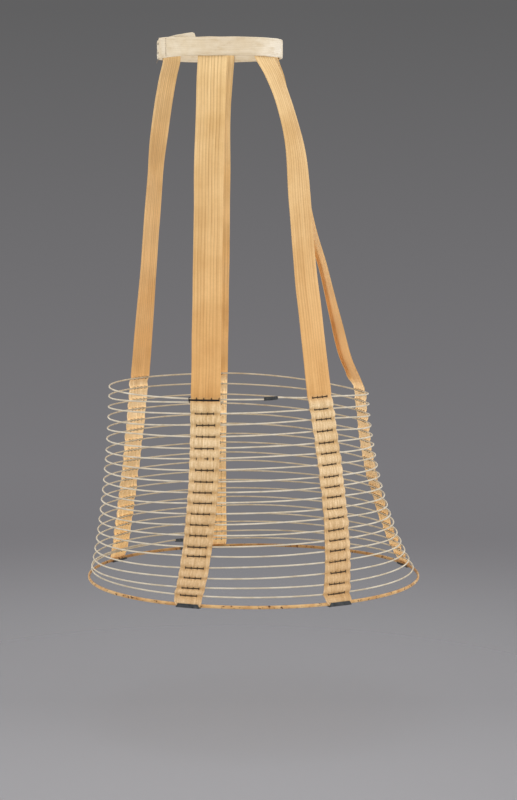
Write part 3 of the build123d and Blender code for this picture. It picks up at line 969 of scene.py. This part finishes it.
# ferrules: short oval sleeves, pinched twice over the wire ends
crimp = {
    "girth": 0.015, "wall": 0.0005, "cols": 24, "rows": 28, "square": 0.8, "curve": 0.22,
    "pinch": 0.07, "pinchAt": 0.45, "pinchWidth": 0.14,
}
hoopSleeve = {"length": 0.020, "tall": 0.0028, "thick": 0.0017, "slant": 0.0005, "taper": 0.22}
hemSleeve = {"length": 0.0095, "tall": 0.0030, "thick": 0.0024, "slant": 0.0, "taper": 0.0}
lapMiddle = Vector((0, 0, wire["lapRise"] / 2))
upper = turnPoint(wire["upperJoint"], 0) + lapMiddle
lower = turnPoint(wire["lowerJoint"], lastLevel) + lapMiddle
ferrules = {
    "topHoopFerrule": {
        "node": "top_hoop_ferrule", "azimuth": wire["upperJoint"], "middle": upper, **hoopSleeve,
    },
    "lowerHoopFerrule": {
        "node": "lower_hoop_ferrule", "azimuth": wire["lowerJoint"], "middle": lower, **hoopSleeve,
    },
    "hemFerrule": {
        "node": "hem_ferrule", "azimuth": hem["joint"], "middle": hemPoint(hem["joint"]), **hemSleeve,
    },
}


def ferrulePlace(sleeve):
    face, side = outward(sleeve["azimuth"]), along(sleeve["azimuth"])
    at, width = crimp["pinchAt"], crimp["pinchWidth"]

    def place(u, v):
        a = 2 * math.pi * u
        x = 2 * v - 1
        pinched = crimp["pinch"] * (math.exp(-((x - at) / width) ** 2) + math.exp(-((x + at) / width) ** 2))
        size = 1 - pinched - sleeve["taper"] * x ** 6
        out = rounded(math.cos(a), crimp["square"]) * sleeve["thick"] * size
        up = rounded(math.sin(a), crimp["square"]) * sleeve["tall"] * size
        reach = sleeve["length"] / 2 * x
        sag = reach ** 2 / 2 / crimp["curve"]
        lift = Vector((0, 0, up + sleeve["slant"] * x))
        return sleeve["middle"] + side * reach + face * (out - sag) + lift
    return place


for name, sleeve in ferrules.items():
    size = (crimp["girth"], sleeve["length"])
    piece = wrapGrid(name, crimp["cols"], crimp["rows"], ferrulePlace(sleeve), size, False, darkSteel)
    bm = bmesh.new()
    bm.from_mesh(piece.data)
    bmesh.ops.remove_doubles(bm, verts=bm.verts, dist=1e-6)
    bmesh.ops.recalc_face_normals(bm, faces=bm.faces)
    bm.to_mesh(piece.data)
    bm.free()
    thicken(piece, crimp["wall"], -1.0)
    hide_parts(sleeve["node"])
print("fittings: clips and ferrules")

# stage, light and camera
stage = {
    "floor": -1.0, "reach": 7.0, "melts": [(0.05, 0.0), (0.29, 1.0)],
    "tone": (0.315, 0.311, 0.32), "paler": [(0.40, 0.95), (0.90, 1.22)], "palerTo": (0.94, 0.342),
    "high": (0.118, 0.117, 0.119), "low": (0.195, 0.19, 0.20), "sky": (0.07, -0.14),
    "ambient": (1.08, 1.08, 1.09),
}
bm = bmesh.new()
onFloor = Matrix.Translation((0, 0, stage["floor"]))
bmesh.ops.create_circle(bm, cap_ends=True, segments=96, radius=stage["reach"], matrix=onFloor)
floorMesh = bpy.data.meshes.new("floor")
bm.to_mesh(floorMesh)
bm.free()
floor = bpy.data.objects.new("floor", floorMesh)
bpy.context.collection.objects.link(floor)
paint = Finish("floorPaint", roughness=0.9)
# a painted pool of light: paler on the side of the wearer's left, and melting into the backdrop further out
left, back = stage["palerTo"]
poolShare = paint.math("MULTIPLY", paint.axis("Object", "X"), left)
poolShare = paint.math("SUBTRACT", poolShare, paint.math("MULTIPLY", paint.axis("Object", "Y"), back))
paint.colour(paint.tint(stage["tone"], paint.ramp(paint.math("ADD", poolShare, 0.5), stage["paler"])))
span = paint.nodes.new("ShaderNodeVectorMath")
span.operation = "LENGTH"
paint.links.new(paint.coord.outputs["Object"], span.inputs[0])
fade = paint.ramp(paint.math("DIVIDE", span.outputs["Value"], stage["reach"]), stage["melts"], "EASE")
clear = paint.nodes.new("ShaderNodeBsdfTransparent")
melt = paint.nodes.new("ShaderNodeMixShader")
for index, source in enumerate((fade, paint.shader.outputs[0], clear.outputs[0])):
    paint.links.new(source, melt.inputs[index])
paint.links.new(melt.outputs[0], paint.nodes["Material Output"].inputs["Surface"])
floorMesh.materials.append(paint.material)

world = bpy.data.worlds.new("studio")
bpy.context.scene.world = world
world.use_nodes = True
nodes, links = world.node_tree.nodes, world.node_tree.links
nodes["Background"].inputs["Color"].default_value = (*stage["ambient"], 1)
# the backdrop that is seen: darker above, paler towards the floor
seen = nodes.new("ShaderNodeBackground")
sight = nodes.new("ShaderNodeTexCoord")
parts = nodes.new("ShaderNodeSeparateXYZ")
links.new(sight.outputs["Generated"], parts.inputs[0])
height = nodes.new("ShaderNodeMapRange")
height.inputs["From Min"].default_value, height.inputs["From Max"].default_value = stage["sky"]
links.new(parts.outputs["Z"], height.inputs["Value"])
shade = nodes.new("ShaderNodeMix")
shade.data_type = "RGBA"
shade.inputs[6].default_value = (*stage["high"], 1)
shade.inputs[7].default_value = (*stage["low"], 1)
links.new(height.outputs["Result"], shade.inputs[0])
links.new(shade.outputs[2], seen.inputs["Color"])
rays = nodes.new("ShaderNodeLightPath")
shownTo = rays.outputs["Is Camera Ray"]
for kind in ("Is Transmission Ray", "Is Glossy Ray"):
    either = nodes.new("ShaderNodeMath")
    either.operation = "MAXIMUM"
    links.new(shownTo, either.inputs[0])
    links.new(rays.outputs[kind], either.inputs[1])
    shownTo = either.outputs[0]
choose = nodes.new("ShaderNodeMixShader")
for index, source in enumerate((shownTo, nodes["Background"].outputs[0], seen.outputs[0])):
    links.new(source, choose.inputs[index])
links.new(choose.outputs[0], nodes["World Output"].inputs["Surface"])

lamps = {
    "front": {"azimuth": 5, "height": 0.6, "reach": 3.0, "size": 2.2, "watts": 12},
    "side": {"azimuth": 125, "height": 0.7, "reach": 3.0, "size": 2.2, "watts": 20},
    "top": {"azimuth": 70, "height": 2.6, "reach": 0.6, "size": 2.0, "watts": 12},
}
lampAim = Vector((0, 0, -0.4))
for name, lamp in lamps.items():
    data = bpy.data.lights.new(name, "AREA")
    data.size = lamp["size"]
    data.energy = lamp["watts"]
    light = bpy.data.objects.new(name, data)
    bpy.context.collection.objects.link(light)
    light.location = outward(lamp["azimuth"]) * lamp["reach"] + Vector((0, 0, lamp["height"]))
    light.rotation_euler = (lampAim - light.location).to_track_quat("-Z", "Y").to_euler()

view = {
    "azimuth": 70.0, "distance": 3.2, "aside": 0.00729, "height": -0.1658, "tilt": 6.288,
    "sensor": 36, "lens": 2149 / 800 * 36,
}
camera = bpy.data.objects.new("camera", bpy.data.cameras.new("camera"))
bpy.context.collection.objects.link(camera)
camera.data.lens = view["lens"]
camera.data.sensor_width = view["sensor"]
heading = outward(view["azimuth"])
eye = Vector((0, cage["hemSetback"], view["height"])) + along(view["azimuth"]) * view["aside"]
camera.location = eye + heading * view["distance"]
tilt = math.radians(view["tilt"])
look = heading * -math.cos(tilt) + Vector((0, 0, -math.sin(tilt)))
camera.rotation_euler = look.to_track_quat("-Z", "Y").to_euler()
bpy.context.scene.camera = camera
bpy.context.scene.view_settings.view_transform = "Standard"
print("stage: floor, lamps, camera")
